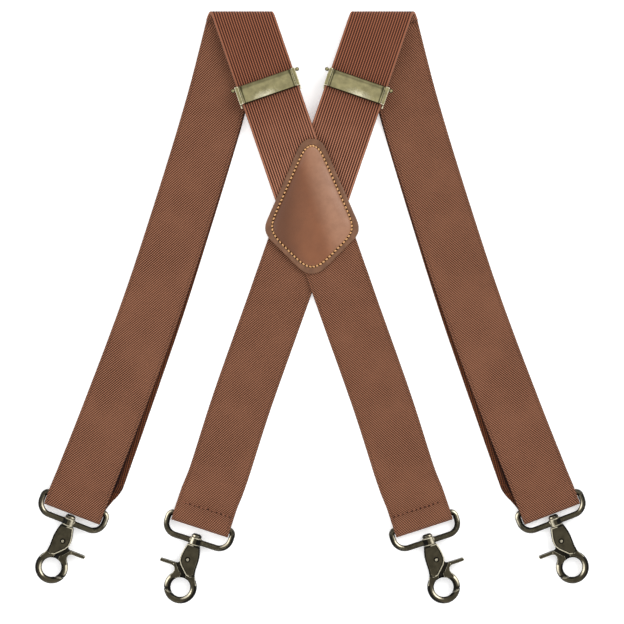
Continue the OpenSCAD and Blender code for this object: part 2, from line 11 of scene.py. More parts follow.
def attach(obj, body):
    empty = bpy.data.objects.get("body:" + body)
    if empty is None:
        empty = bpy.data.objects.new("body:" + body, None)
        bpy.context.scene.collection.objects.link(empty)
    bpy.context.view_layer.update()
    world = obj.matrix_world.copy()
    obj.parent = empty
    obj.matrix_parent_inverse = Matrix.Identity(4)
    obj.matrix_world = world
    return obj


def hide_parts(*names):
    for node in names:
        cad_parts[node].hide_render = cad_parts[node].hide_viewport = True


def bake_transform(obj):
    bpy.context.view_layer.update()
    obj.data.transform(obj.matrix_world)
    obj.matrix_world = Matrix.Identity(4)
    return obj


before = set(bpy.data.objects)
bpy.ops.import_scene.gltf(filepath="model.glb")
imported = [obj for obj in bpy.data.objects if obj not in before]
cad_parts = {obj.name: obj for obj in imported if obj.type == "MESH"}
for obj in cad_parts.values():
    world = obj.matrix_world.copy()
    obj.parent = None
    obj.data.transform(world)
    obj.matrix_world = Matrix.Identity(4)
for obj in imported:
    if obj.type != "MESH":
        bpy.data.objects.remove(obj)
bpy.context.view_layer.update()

MM = 0.001
random.seed(7)

# ---------- the CAD's own measures, in millimetres ----------
STRAP_W, STRAP_T, GAP = 37.5, 1.5, 0.3
HALF_T, LAYER = STRAP_T / 2, STRAP_T + GAP
CREASE_X, SLOPE = 44.8, 0.343
FLOOR_LEVEL, RETURN_LEVEL, TAIL_LOW, TAIL_HIGH, RUN_LEVEL = 0.75, 2.55, 4.35, 7.45, 9.25
CREASE_R, CREASE_Z, CREASE_AXIS_Y = 4.25, 5.0, 181.6
CREASE_HALF_ARC = math.pi * CREASE_R / 2
PATCH_UNDER, PATCH_OVER, LEATHER_T, DOME_H = 2.45, 4.25, 1.4, 3.2
HOOK_Z, FOLD_R, FOLD_AXIS, FOLD_TOP = 3.8, 3.05, 3.8, 6.85
MEET_Y = 60
TURN = math.atan(SLOPE)
SKEW_HALF_W = STRAP_W / 2 / math.cos(TURN)
FRONT = dict(x=-153.3, y=-135.2, turn=math.radians(21), fold=5.1)
BACK = dict(x=-73.6, y=-147.3, turn=math.radians(18), fold=8.3)
ADJUSTER, FLAP_TOP = (-27.9, 138.2), 13.0
PIVOT = (-0.9, -12.3)
RING_DROP, RING_HOLE_R, GATE_ANGLE = 30.4, 6.2, 199  # the angle is in degrees round the snap ring
HEM_END, HEM_SEAM = 30.3, 21.5
STITCH_INSET = 4.4

# ---------- how finely the looks are drawn ----------
FINE = 4  # steps of a route for each one of the CAD's
RIBS = 24
STITCHES, PER_STITCH = 78, 8
AROUND = STITCHES * PER_STITCH  # points round the patch
GROOVE_W = 0.55  # half width of the hollow that the stitches pull in the leather, millimetres


# ---------- vectors and curves ----------
def ease(a, b, x):
    k = np.clip((x - a) / (b - a), 0, 1)
    return k * k * (3 - 2 * k)


def mix(a, b, k):
    return a + (b - a) * k


def unit(v):
    return v / np.linalg.norm(v, axis=-1, keepdims=True)


def curve(points, n):
    """Catmull-Rom through the points, n steps a piece."""
    p = np.array(points, float)
    p = np.vstack([2 * p[0] - p[1], p, 2 * p[-1] - p[-2]])
    k = (np.arange(n) / n)[:, None]
    parts = []
    for a, b, c, d in zip(p, p[1:], p[2:], p[3:]):
        parts.append(0.5 * (2 * b + (c - a) * k + (2 * a - 5 * b + 4 * c - d) * k**2
                            + (3 * b - a - 3 * c + d) * k**3))
    return np.vstack(parts + [p[-2:-1]])


def axis_point(hook, s):
    return np.array([hook["x"] + s * math.sin(hook["turn"]), hook["y"] + s * math.cos(hook["turn"])])


def along_axis(hook, xy):
    return (xy - [hook["x"], hook["y"]]) @ np.array([math.sin(hook["turn"]), math.cos(hook["turn"])])


def cut_vectors(turns, halves):
    turns, halves = np.broadcast_arrays(turns, halves)
    return np.stack([np.cos(turns), -np.sin(turns), np.zeros_like(turns)], 1) * halves[:, None]


def route_cuts(line, span):
    """Half-width vectors along a run whose first end is cut level and whose other end is square."""
    ends = np.vstack([line[:1], line, line[-1:]])
    d = ends[:-2] - ends[2:]
    turns = np.arctan2(d[:, 0], d[:, 1])
    cuts = turns * ease(0, span * FINE, np.arange(len(line)))
    return cut_vectors(cuts, STRAP_W / 2 / np.cos(turns - cuts))


# ---------- meshes ----------
def add_mesh(name, points, faces, **attributes):
    """A smooth-shaded mesh object from points in millimetres, with named point attributes."""
    mesh = bpy.data.meshes.new(name)
    mesh.from_pydata((np.asarray(points) * MM).tolist(), [], [tuple(f) for f in faces])
    mesh.update()
    mesh.polygons.foreach_set("use_smooth", [True] * len(mesh.polygons))
    for key, values in attributes.items():
        values = np.asarray(values, np.float32)
        if values.ndim == 2:
            mesh.attributes.new(key, "FLOAT_VECTOR", "POINT").data.foreach_set("vector", values.ravel())
        else:
            mesh.attributes.new(key, "FLOAT", "POINT").data.foreach_set("value", values)
    ob = bpy.data.objects.new(name, mesh)
    bpy.context.scene.collection.objects.link(ob)
    return ob


def mirror(side):
    """What a point drawn for the left side is multiplied by."""
    return np.array([1 if side == "left" else -1, 1, 1])


def turned_over(faces):
    return [tuple(reversed(f)) for f in faces]


def tube_faces(rows, around, offset=0):
    """(sides, ends) of a closed tube: its quads, and one polygon for each end."""
    i = np.arange(rows - 1)[:, None] * around + offset
    j = np.arange(around)[None, :]
    k = (j + 1) % around
    quads = np.stack([i + j, i + k, i + k + around, i + j + around], -1).reshape(-1, 4)
    last = offset + (rows - 1) * around
    caps = [tuple(range(offset + around - 1, offset - 1, -1)), tuple(range(last, last + around))]
    return [tuple(q) for q in quads.tolist()], caps


def ribbed_profile():
    """(share of the half width, height) round the webbing: ribs above, a plain back below."""
    top = []
    per = 7
    for j in range(RIBS * per + 1):
        crest = abs(math.sin(math.pi * j / per)) ** 0.55
        top.append((-0.992 + 1.984 * j / (RIBS * per), 0.55 + 0.2 * crest))
    under = [(a, -0.72 + 0.05 * math.cos(40 * a)) for a in np.linspace(0.985, -0.985, 36)]
    edge = [(0.999, 0.2), (1.0, -0.25), (0.995, -0.6)]
    return top + edge + under + [(-a, h) for a, h in reversed(edge)]


def twill_profile():
    """A nearly flat face on both sides, a rounded selvedge at both edges."""
    def face(sign):
        row = []
        for a in np.linspace(-0.985, 0.985, 61):
            bead = 0.09 * math.exp(-((abs(a) - 0.958) / 0.018) ** 2)
            groove = 0.12 * math.exp(-((abs(a) - 0.915) / 0.012) ** 2)
            row.append((a * -sign, sign * (0.66 + bead - groove)))
        return row
    return (list(reversed(face(1))) + [(0.996, 0.42), (1.0, 0.0), (0.996, -0.42)]
            + face(-1)[::-1] + [(-0.996, -0.42), (-1.0, 0.0), (-0.996, 0.42)])


def strap(name, centres, halves, profile, side, seed, joins_at=None):
    """One length of webbing as a closed mesh. The "lie" attribute holds millimetres across, along and side.
    With joins_at, the weave is counted back from there, so that it carries on from another run."""
    c, w = np.asarray(centres, float), np.asarray(halves, float)
    ends = np.vstack([c[:1], c, c[-1:]])
    tangent = unit(ends[2:] - ends[:-2])
    up = unit(np.cross(tangent, w))
    if up[:, 2].sum() < 0 and abs(up[:, 2]).min() > 0.9:
        up = -up
    arc = np.concatenate([[0], np.cumsum(np.linalg.norm(np.diff(c, axis=0), axis=1))])
    a = np.array([p[0] for p in profile])[None, :, None]
    h = np.array([p[1] for p in profile])[None, :, None]
    rng = np.random.default_rng(seed)
    waver = np.convolve(rng.normal(0, 1, len(c) + 4), np.ones(5) / 5, "valid")[:, None, None] * 0.05
    body = c[:, None] + a * w[:, None] * (1 + waver * 0.02) + h * up[:, None]
    skew = np.einsum("ij,ij->i", w, tangent)[:, None] * a[..., 0]
    run = arc[:, None] + skew
    if joins_at is not None:
        run = joins_at + arc[-1] - run
    lie = np.stack([
        np.broadcast_to(a[..., 0] * STRAP_W / 2, body.shape[:2]),
        run,
        np.broadcast_to(np.sign(h[..., 0]), body.shape[:2]),
    ], -1)
    around = len(profile)
    quads, caps = tube_faces(len(c), around)
    points = body.reshape(-1, 3)
    faces = quads + caps
    if np.dot(np.cross(w[0], up[0]), tangent[0]) > 0:
        faces = turned_over(faces)
    if side == "right":
        faces = turned_over(faces)
    ob = add_mesh(name, points * mirror(side), faces, lie=lie.reshape(-1, 3))
    ob["length_mm"] = float(arc[-1])
    return ob


# ---------- straps, as the CAD lays them, for the left side ----------
def upper_x(y):
    return -CREASE_X + SLOPE * (CREASE_HALF_ARC + CREASE_AXIS_Y - y)


def upper_level(y, over):
    return mix(PATCH_OVER, RUN_LEVEL, ease(86, 113, y)) - (1 - over) * LAYER * (1 - ease(113, 119.5, y))


def lower_level(y, over):
    return mix(FLOOR_LEVEL, PATCH_UNDER, ease(8, 19, y)) + over * LAYER * ease(-4, 8, y)


def hem_level(s):
    turned = mix(FOLD_TOP, RETURN_LEVEL, ease(15.3, 22.5, s))
    return mix(turned, FLOOR_LEVEL, ease(HEM_END + 1, HEM_END + 11, s))


def upper_path(over):
    ys = np.linspace(MEET_Y + 0.05, CREASE_AXIS_Y, 90)
    run = np.stack([upper_x(ys), ys, upper_level(ys, over)], 1)
    turn = np.radians(np.linspace(90, -90, 41)[1:])
    bend = np.stack([
        -CREASE_X + SLOPE * CREASE_HALF_ARC * turn / (math.pi / 2),
        CREASE_AXIS_Y + CREASE_R * np.cos(turn),
        CREASE_Z + CREASE_R * np.sin(turn),
    ], 1)
    c = np.vstack([run, bend])
    return c, np.tile([-SKEW_HALF_W, 0, 0], (len(c), 1))


def fold_bend(hook):
    turn = np.radians(np.linspace(-90, 90, 31)[1:])
    s = hook["fold"] + FOLD_AXIS - FOLD_R * np.cos(turn)
    xy = np.array([axis_point(hook, v) for v in s])
    return np.column_stack([xy, HOOK_Z + FOLD_R * np.sin(turn)])


FRONT_START = [upper_x(CREASE_AXIS_Y) - 2 * SLOPE * CREASE_HALF_ARC, CREASE_AXIS_Y - 0.05]
FRONT_LINE = curve([FRONT_START, [-61.5, 126], [-81, 62], [-102, -1.5], [-126, -65.5],
                    axis_point(FRONT, 30), axis_point(FRONT, 20),
                    axis_point(FRONT, FRONT["fold"] + FOLD_AXIS)], 7 * FINE)
FRONT_CUTS = route_cuts(FRONT_LINE, 14)
LOWER_LINE = curve([[-2.05, MEET_Y - 0.05], [-21.5, 4.7], [-43.9, -58.4],
                    axis_point(BACK, 45) + [1, 0], axis_point(BACK, 27),
                    axis_point(BACK, BACK["fold"] + FOLD_AXIS)], 11 * FINE)
LOWER_CUTS = route_cuts(LOWER_LINE, 20)


def front_path():
    k = (CREASE_AXIS_Y - FRONT_LINE[:, 1]) / 290
    shift = (4.8 * k**3 + 0.8 * ease(0.03, 0.25, k)) * ease(13, 33, along_axis(FRONT, FRONT_LINE))
    run = FRONT_LINE + shift[:, None] * [math.cos(FRONT["turn"]), -math.sin(FRONT["turn"])]
    run = np.column_stack([run, np.full(len(run), FLOOR_LEVEL)])
    bend = fold_bend(FRONT)
    cuts = cut_vectors(np.full(len(bend), FRONT["turn"]), STRAP_W / 2)
    return np.vstack([run, bend]), np.vstack([FRONT_CUTS, cuts])


def return_path():
    axis_y, r = CREASE_AXIS_Y - 1.6, LAYER / 2
    keep = FRONT_LINE[:, 1] < axis_y - 2
    xy = FRONT_LINE[keep]
    z = mix(RETURN_LEVEL, FOLD_TOP, 1 - ease(16, 29, along_axis(FRONT, xy)))
    turn = np.radians(np.linspace(90, -90, 17))
    bend = np.stack([FRONT_START[0] + SLOPE * (1 + turn / (math.pi / 2)),
                     axis_y + r * np.cos(turn), RETURN_LEVEL + r + r * np.sin(turn)], 1)
    cuts = np.tile([SKEW_HALF_W, 0, 0], (len(bend), 1))
    return np.vstack([bend, np.column_stack([xy, z])]), np.vstack([cuts, FRONT_CUTS[keep]])


def lower_path(over):
    y, s = LOWER_LINE[:, 1], along_axis(BACK, LOWER_LINE)
    z = np.where(y > -30, lower_level(y, over), hem_level(s))
    bend = fold_bend(BACK)[::-1][1:]
    hem_s = np.linspace(BACK["fold"] + FOLD_AXIS, HEM_END, 16)
    hem = np.array([[*axis_point(BACK, v), FLOOR_LEVEL] for v in hem_s])
    turned = np.vstack([bend, hem])
    cuts = cut_vectors(np.full(len(turned), BACK["turn"]), STRAP_W / 2)
    return np.vstack([np.column_stack([LOWER_LINE, z]), turned]), np.vstack([LOWER_CUTS, cuts])


def place_adjuster(points):
    """From the adjuster's own frame to the left side of the row frame."""
    p = np.atleast_2d(points)
    c, s = math.cos(TURN), math.sin(TURN)
    x = ADJUSTER[0] + c * p[:, 0] - s * p[:, 1]
    y = ADJUSTER[1] + s * p[:, 0] + c * p[:, 1]
    return np.column_stack([x, y, p[:, 2]])


def tail_path():
    low_v = np.linspace(42.6, 2, 34)
    turn = np.radians(np.linspace(-90, 90, 21)[1:])
    r = (TAIL_HIGH - TAIL_LOW) / 2
    high_v = np.linspace(2, 16, 15)[1:]
    c = np.vstack([
        np.column_stack([0 * low_v, low_v, np.full(len(low_v), TAIL_LOW)]),
        np.column_stack([0 * turn, 2 - r * np.cos(turn), TAIL_LOW + r + r * np.sin(turn)]),
        np.column_stack([0 * high_v, high_v, mix(TAIL_HIGH, TAIL_LOW + LAYER, ease(5.6, 13, high_v))]),
    ])
    lean = np.zeros(len(c))
    lean[:len(low_v)] = SLOPE * ease(18, 40, low_v)
    w = np.column_stack([np.ones(len(c)), -lean, np.zeros(len(c))]) * STRAP_W / 2
    origin = place_adjuster([[0, 0, 0]])
    return place_adjuster(c), place_adjuster(w) - origin


# ---------- materials ----------
class Paint:
    """A node material, written as sums of sockets and numbers."""

    def __init__(self, name):
        self.mat = bpy.data.materials.new(name)
        self.mat.use_nodes = True
        self.tree = self.mat.node_tree
        self.tree.nodes.clear()
        self.shader = self.tree.nodes.new("ShaderNodeBsdfPrincipled")
        out = self.tree.nodes.new("ShaderNodeOutputMaterial")
        self.tree.links.new(self.shader.outputs[0], out.inputs[0])

    def put(self, socket, value):
        if isinstance(value, bpy.types.NodeSocket):
            self.tree.links.new(value, socket)
        elif isinstance(value, tuple) and socket.type == "RGBA":
            socket.default_value = (*value, 1)
        else:
            socket.default_value = value

    def set(self, **values):
        for key, value in values.items():
            self.put(self.shader.inputs[key.replace("_", " ")], value)

    def math(self, op, *values):
        node = self.tree.nodes.new("ShaderNodeMath")
        node.operation = op
        for socket, value in zip(node.inputs, values):
            self.put(socket, value)
        return node.outputs[0]

    def add(self, a, b):
        return self.math("ADD", a, b)

    def mul(self, a, b):
        return self.math("MULTIPLY", a, b)

    def wave(self, x, pitch, phase=0.0):
        """0 to 1, once each pitch."""
        turned = self.math("MULTIPLY_ADD", x, 2 * math.pi / pitch, phase)
        return self.math("MULTIPLY_ADD", self.math("SINE", turned), 0.5, 0.5)

    def ramp(self, x, low, high, to_low=0.0, to_high=1.0):
        node = self.tree.nodes.new("ShaderNodeMapRange")
        node.interpolation_type = "SMOOTHSTEP"
        for socket, value in zip(node.inputs, (x, low, high, to_low, to_high)):
            self.put(socket, value)
        return node.outputs[0]

    def attribute(self, name):
        node = self.tree.nodes.new("ShaderNodeAttribute")
        node.attribute_name = name
        return node

    def split(self, vector):
        node = self.tree.nodes.new("ShaderNodeSeparateXYZ")
        self.put(node.inputs[0], vector)
        return node.outputs

    def join(self, x, y, z=0.0):
        node = self.tree.nodes.new("ShaderNodeCombineXYZ")
        for socket, value in zip(node.inputs, (x, y, z)):
            self.put(socket, value)
        return node.outputs[0]

    def place(self):
        return self.tree.nodes.new("ShaderNodeTexCoord").outputs["Object"]

    def noise(self, vector, scale, detail=2.0, rough=0.5):
        node = self.tree.nodes.new("ShaderNodeTexNoise")
        self.put(node.inputs["Vector"], vector)
        self.put(node.inputs["Scale"], scale)
        self.put(node.inputs["Detail"], detail)
        self.put(node.inputs["Roughness"], rough)
        return node.outputs[0]

    def cells(self, vector, scale):
        node = self.tree.nodes.new("ShaderNodeTexVoronoi")
        self.put(node.inputs["Vector"], vector)
        self.put(node.inputs["Scale"], scale)
        return node.outputs[0]

    def blend(self, k, a, b):
        node = self.tree.nodes.new("ShaderNodeMix")
        node.data_type = "RGBA"
        self.put(node.inputs[0], k)
        self.put(node.inputs[6], a)
        self.put(node.inputs[7], b)
        return node.outputs[2]

    def bump(self, height, distance, strength=1.0):
        node = self.tree.nodes.new("ShaderNodeBump")
        node.inputs["Strength"].default_value = strength
        node.inputs["Distance"].default_value = distance
        self.put(node.inputs["Height"], height)
        self.put(self.shader.inputs["Normal"], node.outputs[0])


def dimmed(colour, share):
    return tuple(c * share for c in colour)


def twill_material(name, light, dark, painted_shade=None):
    """Fine twill: rows of small raised dashes, rising to the right, with a run of thread by each selvedge.
    The painted shade is a shadow painted on the under face: darkest where another run covers it, less dark at
    its bare edge."""
    p = Paint(name)
    u, v, side = p.split(p.attribute("lie").outputs["Vector"])
    jitter = p.noise(p.join(u, v), 0.35, 2.0)
    wander = p.math("MULTIPLY_ADD", jitter, 0.3, -0.15)
    across, along = p.add(u, wander), p.add(v, wander)
    row = p.wave(p.add(p.mul(across, 0.857), p.mul(along, 0.515)), 1.15)
    dash = p.wave(p.math("SUBTRACT", along, p.mul(across, 0.35)), 1.3)
    weave = p.add(p.mul(row, 0.6), p.mul(p.mul(row, dash), 0.5))
    fleck = p.noise(p.join(p.mul(u, 1.6), v), 2.2, 2.0, 0.65)
    level = p.add(weave, p.math("MULTIPLY_ADD", fleck, 0.7, -0.35))
    colour = p.blend(p.ramp(level, 0.1, 0.95), dark, light)
    broad = p.noise(p.join(u, v), 0.035, 3.0)
    colour = p.blend(p.ramp(broad, 0.3, 0.75, 0.0, 0.3), colour, dimmed(light, 0.72))
    edge = p.math("ABSOLUTE", u)
    thread = p.mul(p.ramp(p.math("ABSOLUTE", p.add(edge, -17.0)), 0.5, 0.1), p.wave(v, 2.1))
    colour = p.blend(p.mul(thread, 0.55), colour, dark)
    colour = p.blend(p.ramp(edge, 18.0, 18.7, 0.0, 0.35), colour, dark)
    # painted shade: the covered face is darkened as if in the shadow of the run above it
    if painted_shade:
        covered, bare = painted_shade
        strip = p.blend(p.ramp(edge, 13.5, 17.0), covered, bare)
        shade = p.blend(p.ramp(level, 0.1, 0.95), dimmed(covered, 0.6), strip)
        colour = p.blend(p.ramp(side, -0.2, 0.2), colour, shade)
    p.set(Base_Color=colour, Roughness=0.88, Specular_IOR_Level=0.15, Sheen_Weight=0.04, Sheen_Roughness=0.5)
    p.bump(p.add(level, p.mul(thread, -0.6)), 0.00022)
    return p.mat


def ribbed_material(name, crest, gap):
    """Knitted ribs along the webbing, each a plait of small stitches, redder towards the crease, with painted
    shade where the crease turns down.
    """
    p = Paint(name)
    u, v, side = p.split(p.attribute("lie").outputs["Vector"])
    pitch = STRAP_W * 0.992 / RIBS
    rib = p.wave(u, pitch, -math.pi / 2)
    in_rib = p.math("FRACT", p.math("MULTIPLY_ADD", u, 1 / pitch, 0.5))
    lean = p.math("ABSOLUTE", p.math("SUBTRACT", in_rib, 0.5))
    plait = p.wave(p.add(v, p.mul(lean, 1.5)), 1.15)
    fleck = p.noise(p.join(p.mul(u, 1.5), v), 2.4, 2.0, 0.7)
    fluff = p.math("MULTIPLY_ADD", fleck, 0.5, -0.25)
    level = p.add(p.mul(rib, 0.62), p.add(p.mul(p.mul(plait, rib), 0.3), fluff))
    relief = p.ramp(level, 0.2, 0.85)
    colour = p.blend(relief, gap, crest)
    broad = p.noise(p.join(u, v), 0.05, 3.0)
    colour = p.blend(p.ramp(broad, 0.35, 0.75, 0.0, 0.25), colour, dimmed(crest, 0.75))
    colour = p.blend(p.ramp(v, 20.0, 100.0, 0.0, 0.75), colour, p.blend(relief, gap, (0.26, 0.08, 0.036)))
    # painted shade, near black, over the crease's bend where it turns down to the floor
    colour = p.blend(p.ramp(v, 137.0, 142.0, 0.0, 0.7), colour, (0.03, 0.009, 0.004))
    selvedge = p.ramp(p.math("ABSOLUTE", u), 17.8, 18.3, 0.0, 0.5)
    colour = p.blend(selvedge, colour, dimmed(crest, 0.8))
    plain = p.wave(p.add(u, v), 1.7)
    under = p.blend(p.ramp(p.add(plain, fleck), 0.4, 1.4), gap, crest)
    colour = p.blend(p.ramp(side, -0.2, 0.2), under, colour)
    p.set(Base_Color=colour, Roughness=0.88, Specular_IOR_Level=0.15, Sheen_Weight=0.04, Sheen_Roughness=0.5)
    p.bump(level, 0.00025)
    return p.mat


def leather_material(name, light, dark, margin):
    """Smooth leather with fine pores and soft creases. It has a painted highlight up the right of its swell,
    painted shade down its left, and painted shade in the stitch holes."""
    p = Paint(name)
    place = p.place()
    pores = p.cells(place, 1500.0)
    crease = p.noise(place, 160.0, 6.0, 0.6)
    cloud = p.noise(place, 28.0, 3.0, 0.5)
    zone = p.attribute("zone").outputs["Fac"]
    sunk = p.attribute("sunk").outputs["Fac"]
    colour = p.blend(p.ramp(cloud, 0.3, 0.75), dark, light)
    across, along = p.split(place)[:2]
    # painted highlight up the right of the swell, then painted shade down its left
    pale = tuple(a * b for a, b in zip(light, (1.8, 2.6, 3.7)))
    sweep = p.add(across, p.math("MULTIPLY_ADD", along, 0.3, -0.0165))
    painted_light = p.blend(p.ramp(sweep, 0.001, 0.015, 0.0, 0.6), colour, pale)
    painted_light = p.blend(p.ramp(across, -0.002, -0.018, 0.0, 0.75), painted_light, dimmed(dark, 0.5))
    rim = p.blend(p.ramp(crease, 0.35, 0.65), margin, dimmed(margin, 0.75))
    colour = p.blend(p.ramp(zone, 0.4, 0.6), rim, painted_light)
    colour = p.blend(p.ramp(crease, 0.35, 0.7, 0.0, 0.22), colour, dimmed(dark, 0.6))
    # painted shade, near black, in the stitch holes
    colour = p.blend(p.ramp(sunk, 0.04, 0.6, 0.0, 0.95), colour, (0.022, 0.008, 0.004))
    rough = p.ramp(crease, 0.3, 0.8, 0.36, 0.5)
    p.set(Base_Color=colour, Roughness=rough, Coat_Weight=0.05, Coat_Roughness=0.35, Specular_IOR_Level=0.25)
    p.bump(p.add(p.mul(pores, 0.5), crease), 0.00012, 0.5)
    return p.mat


def thread_material(name, light, dark):
    """Twisted thread: plies that wind round it. Needle marks, whose side is below 0, are painted dark as the
    shade in the needle holes.
    """
    p = Paint(name)
    u, v, side = p.split(p.attribute("lie").outputs["Vector"])
    ply = p.wave(p.add(u, p.mul(v, 2.2)), 0.55)
    fleck = p.noise(p.place(), 900.0, 2.0)
    lit = p.add(ply, p.math("MULTIPLY_ADD", fleck, 0.8, -0.4))
    colour = p.blend(p.ramp(lit, 0.1, 0.9), dark, light)
    # painted shade for the needle marks
    colour = p.blend(p.ramp(side, -0.2, 0.2), (0.03, 0.009, 0.004), colour)
    p.set(Base_Color=colour, Roughness=0.7, Specular_IOR_Level=0.15)
    p.bump(ply, 0.0001)
    return p.mat


def antique_material(name, bright, face, black, mottle=0.5):
    """Plated metal, toned dark: polished bright on its raised edges and dark in its hollows, with a painted
    highlight on one side and painted shade on its steep faces and its other side.
    """
    p = Paint(name)
    place = p.place()
    wear = p.attribute("wear").outputs["Fac"]
    wall = p.attribute("wall").outputs["Fac"]
    cloud = p.noise(place, 220.0, 5.0, 0.62)
    grit = p.noise(place, 1400.0, 3.0, 0.6)
    tone = p.blend(p.ramp(cloud, 0.5 - mottle / 2, 0.5 + mottle / 2), dimmed(face, 0.5), face)
    # painted shade: black on the steep faces and on the side away from the painted highlight
    tone = p.blend(p.ramp(wall, 0.22, 0.62), tone, black)
    rubbed_and_painted_light = p.add(wear, p.math("MULTIPLY_ADD", grit, 0.5, -0.25))
    # polished edges and the painted highlight, bright
    tone = p.blend(p.ramp(rubbed_and_painted_light, 0.2, 0.75), tone, bright)
    # dark hollows, and the painted shade that the tone functions add, black
    tone = p.blend(p.ramp(wear, -0.12, -0.55, 0.0, 0.85), tone, black)
    p.set(Base_Color=tone, Metallic=0.9, Roughness=p.ramp(cloud, 0.3, 0.7, 0.34, 0.48))
    p.bump(p.add(cloud, p.mul(grit, 0.4)), 0.00006, 0.5)
    return p.mat


def steel_material(name):
    p = Paint(name)
    streak = p.noise(p.place(), 700.0, 3.0)
    colour = p.blend(p.ramp(streak, 0.3, 0.7), (0.32, 0.31, 0.3), (0.55, 0.54, 0.52))
    p.set(Base_Color=colour, Metallic=1.0, Roughness=p.ramp(streak, 0.3, 0.7, 0.28, 0.42))
    return p.mat


WEB_LIGHT, WEB_DARK = (0.322, 0.136, 0.074), (0.022, 0.0062, 0.0028)
TWILL = twill_material("twill webbing", WEB_LIGHT, WEB_DARK)
# the front run, with painted shade where the return run lies over it
FAR_TWILL = twill_material("twill webbing, painted shade on covered side", WEB_LIGHT, WEB_DARK,
                           painted_shade=((0.012, 0.002, 0.0006), (0.16, 0.046, 0.014)))
RIBBED = ribbed_material("ribbed webbing", (0.44, 0.19, 0.112), (0.036, 0.0095, 0.0045))
LEATHER = leather_material("leather", (0.205, 0.077, 0.034), (0.155, 0.057, 0.025), (0.165, 0.077, 0.04))
THREAD = thread_material("waxed thread", (0.9, 0.54, 0.26), (0.46, 0.22, 0.08))
SEAM = thread_material("seam thread", (0.4, 0.17, 0.1), (0.1, 0.028, 0.012))
BRONZE = antique_material("antique bronze", (0.7, 0.64, 0.48), (0.062, 0.053, 0.032), (0.005, 0.0045, 0.003))
BRASS = antique_material("antique brass", (0.76, 0.72, 0.54), (0.33, 0.295, 0.15), (0.02, 0.018, 0.008),
                         mottle=0.8)
STEEL = steel_material("spring wire")


def dress(ob, material, slot, body, *nodes):
    """Gives a piece its material, the body that it rides, if any, and the nodes it replaces. The slot is not
    used.
    """
    ob.data.materials.append(material)
    if body:
        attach(ob, body)
    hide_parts(*nodes)


def make_straps():
    ribbed, twill = ribbed_profile(), twill_profile()
    for side in ("left", "right"):
        upper_over, lower_over = (1, 0) if side == "left" else (0, 1)
        ob = strap(side + "_ribbed_webbing", *upper_path(upper_over), ribbed, side, 1)
        dress(ob, RIBBED, "webbing_ribbed", "root", side + "_upper_strap")
        back = strap(side + "_return_webbing", *return_path(), twill, side, 3)
        dress(back, TWILL, "webbing_twill", "root", side + "_return_strap")
        ob = strap(side + "_front_webbing", *front_path(), twill, side, 2, joins_at=back["length_mm"])
        dress(ob, FAR_TWILL, "webbing_twill", "root", side + "_front_strap")
        ob = strap(side + "_lower_webbing", *lower_path(lower_over), twill, side, 4)
        dress(ob, TWILL, "webbing_twill", "root", side + "_lower_strap")
        ob = strap(side + "_tail_webbing", *tail_path(), twill, side, 5)
        dress(ob, TWILL, "webbing_twill", None, side + "_strap_tail")
        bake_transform(ob)


# ---------- patch ----------
def tangent_angle(a, ra, b, rb):
    d = np.subtract(b, a)
    return math.atan2(d[1], d[0]) + math.acos((ra - rb) / np.linalg.norm(d))


PATCH_MIDDLE = np.array([0, 58.0])
TOP, SHOULDER, FOOT = (0, 97.0), (20.5, 50.0), (0, 32.2)  # centres of the kite's corners
TOP_R, SHOULDER_R, FOOT_R = 9, 9, 11


def kite(inset, ease_mm):
    """The rounded kite, drawn inset and eased, as points that go round it clockwise from its top."""
    high_turn = tangent_angle(TOP, TOP_R, SHOULDER, SHOULDER_R)
    low_turn = tangent_angle(SHOULDER, SHOULDER_R, FOOT, FOOT_R)

    def arc(centre, r, a, b, n):
        t = np.linspace(a, b, n)
        return np.column_stack([centre[0] + (r - inset) * np.cos(t), centre[1] + (r - inset) * np.sin(t)])

    half = np.vstack([
        arc(TOP, TOP_R, math.pi / 2, high_turn, 24),
        arc(SHOULDER, SHOULDER_R, high_turn, low_turn, 40),
        arc(FOOT, FOOT_R, low_turn, -math.pi / 2, 30),
    ])
    line = np.vstack([half, half[-2:0:-1] * [-1, 1]])
    ring = np.vstack([line, line[:1]])
    run = np.concatenate([[0], np.cumsum(np.linalg.norm(np.diff(ring, axis=0), axis=1))])
    d = np.linspace(0, run[-1], AROUND, endpoint=False)
    even = np.column_stack([np.interp(d, run, ring[:, 0]), np.interp(d, run, ring[:, 1])])
    cycles = np.fft.fftfreq(AROUND, run[-1] / AROUND)[:, None]
    fade = np.exp(-2 * (math.pi * cycles * ease_mm) ** 2)
    eased = np.real(np.fft.ifft(np.fft.fft(even, axis=0) * fade, axis=0))
    low, high = even.min(0), even.max(0)
    soft_low, soft_high = eased.min(0), eased.max(0)
    return low + (eased - soft_low) * (high - low) / (soft_high - soft_low)


def ease_at(inset):
    """How far the outline is eased: the seam is rounder than the rim."""
    return float(mix(2.2, 5.0, ease(0.5, STITCH_INSET, inset)))


def patch_base(y):
    return upper_level(np.maximum(y, MEET_Y), 1) + HALF_T + GAP


def dome(k):
    return DOME_H * (1 - k**3) ** 0.75


def hole_depth(inset):
    """0 to 1 in the holes between the stitches, for each of the points round a ring."""
    phase = (np.arange(AROUND) % PER_STITCH) / PER_STITCH
    across = math.exp(-((inset - STITCH_INSET) / GROOVE_W) ** 2)
    return across * np.exp(-((np.minimum(phase, 1 - phase)) / 0.19) ** 2)


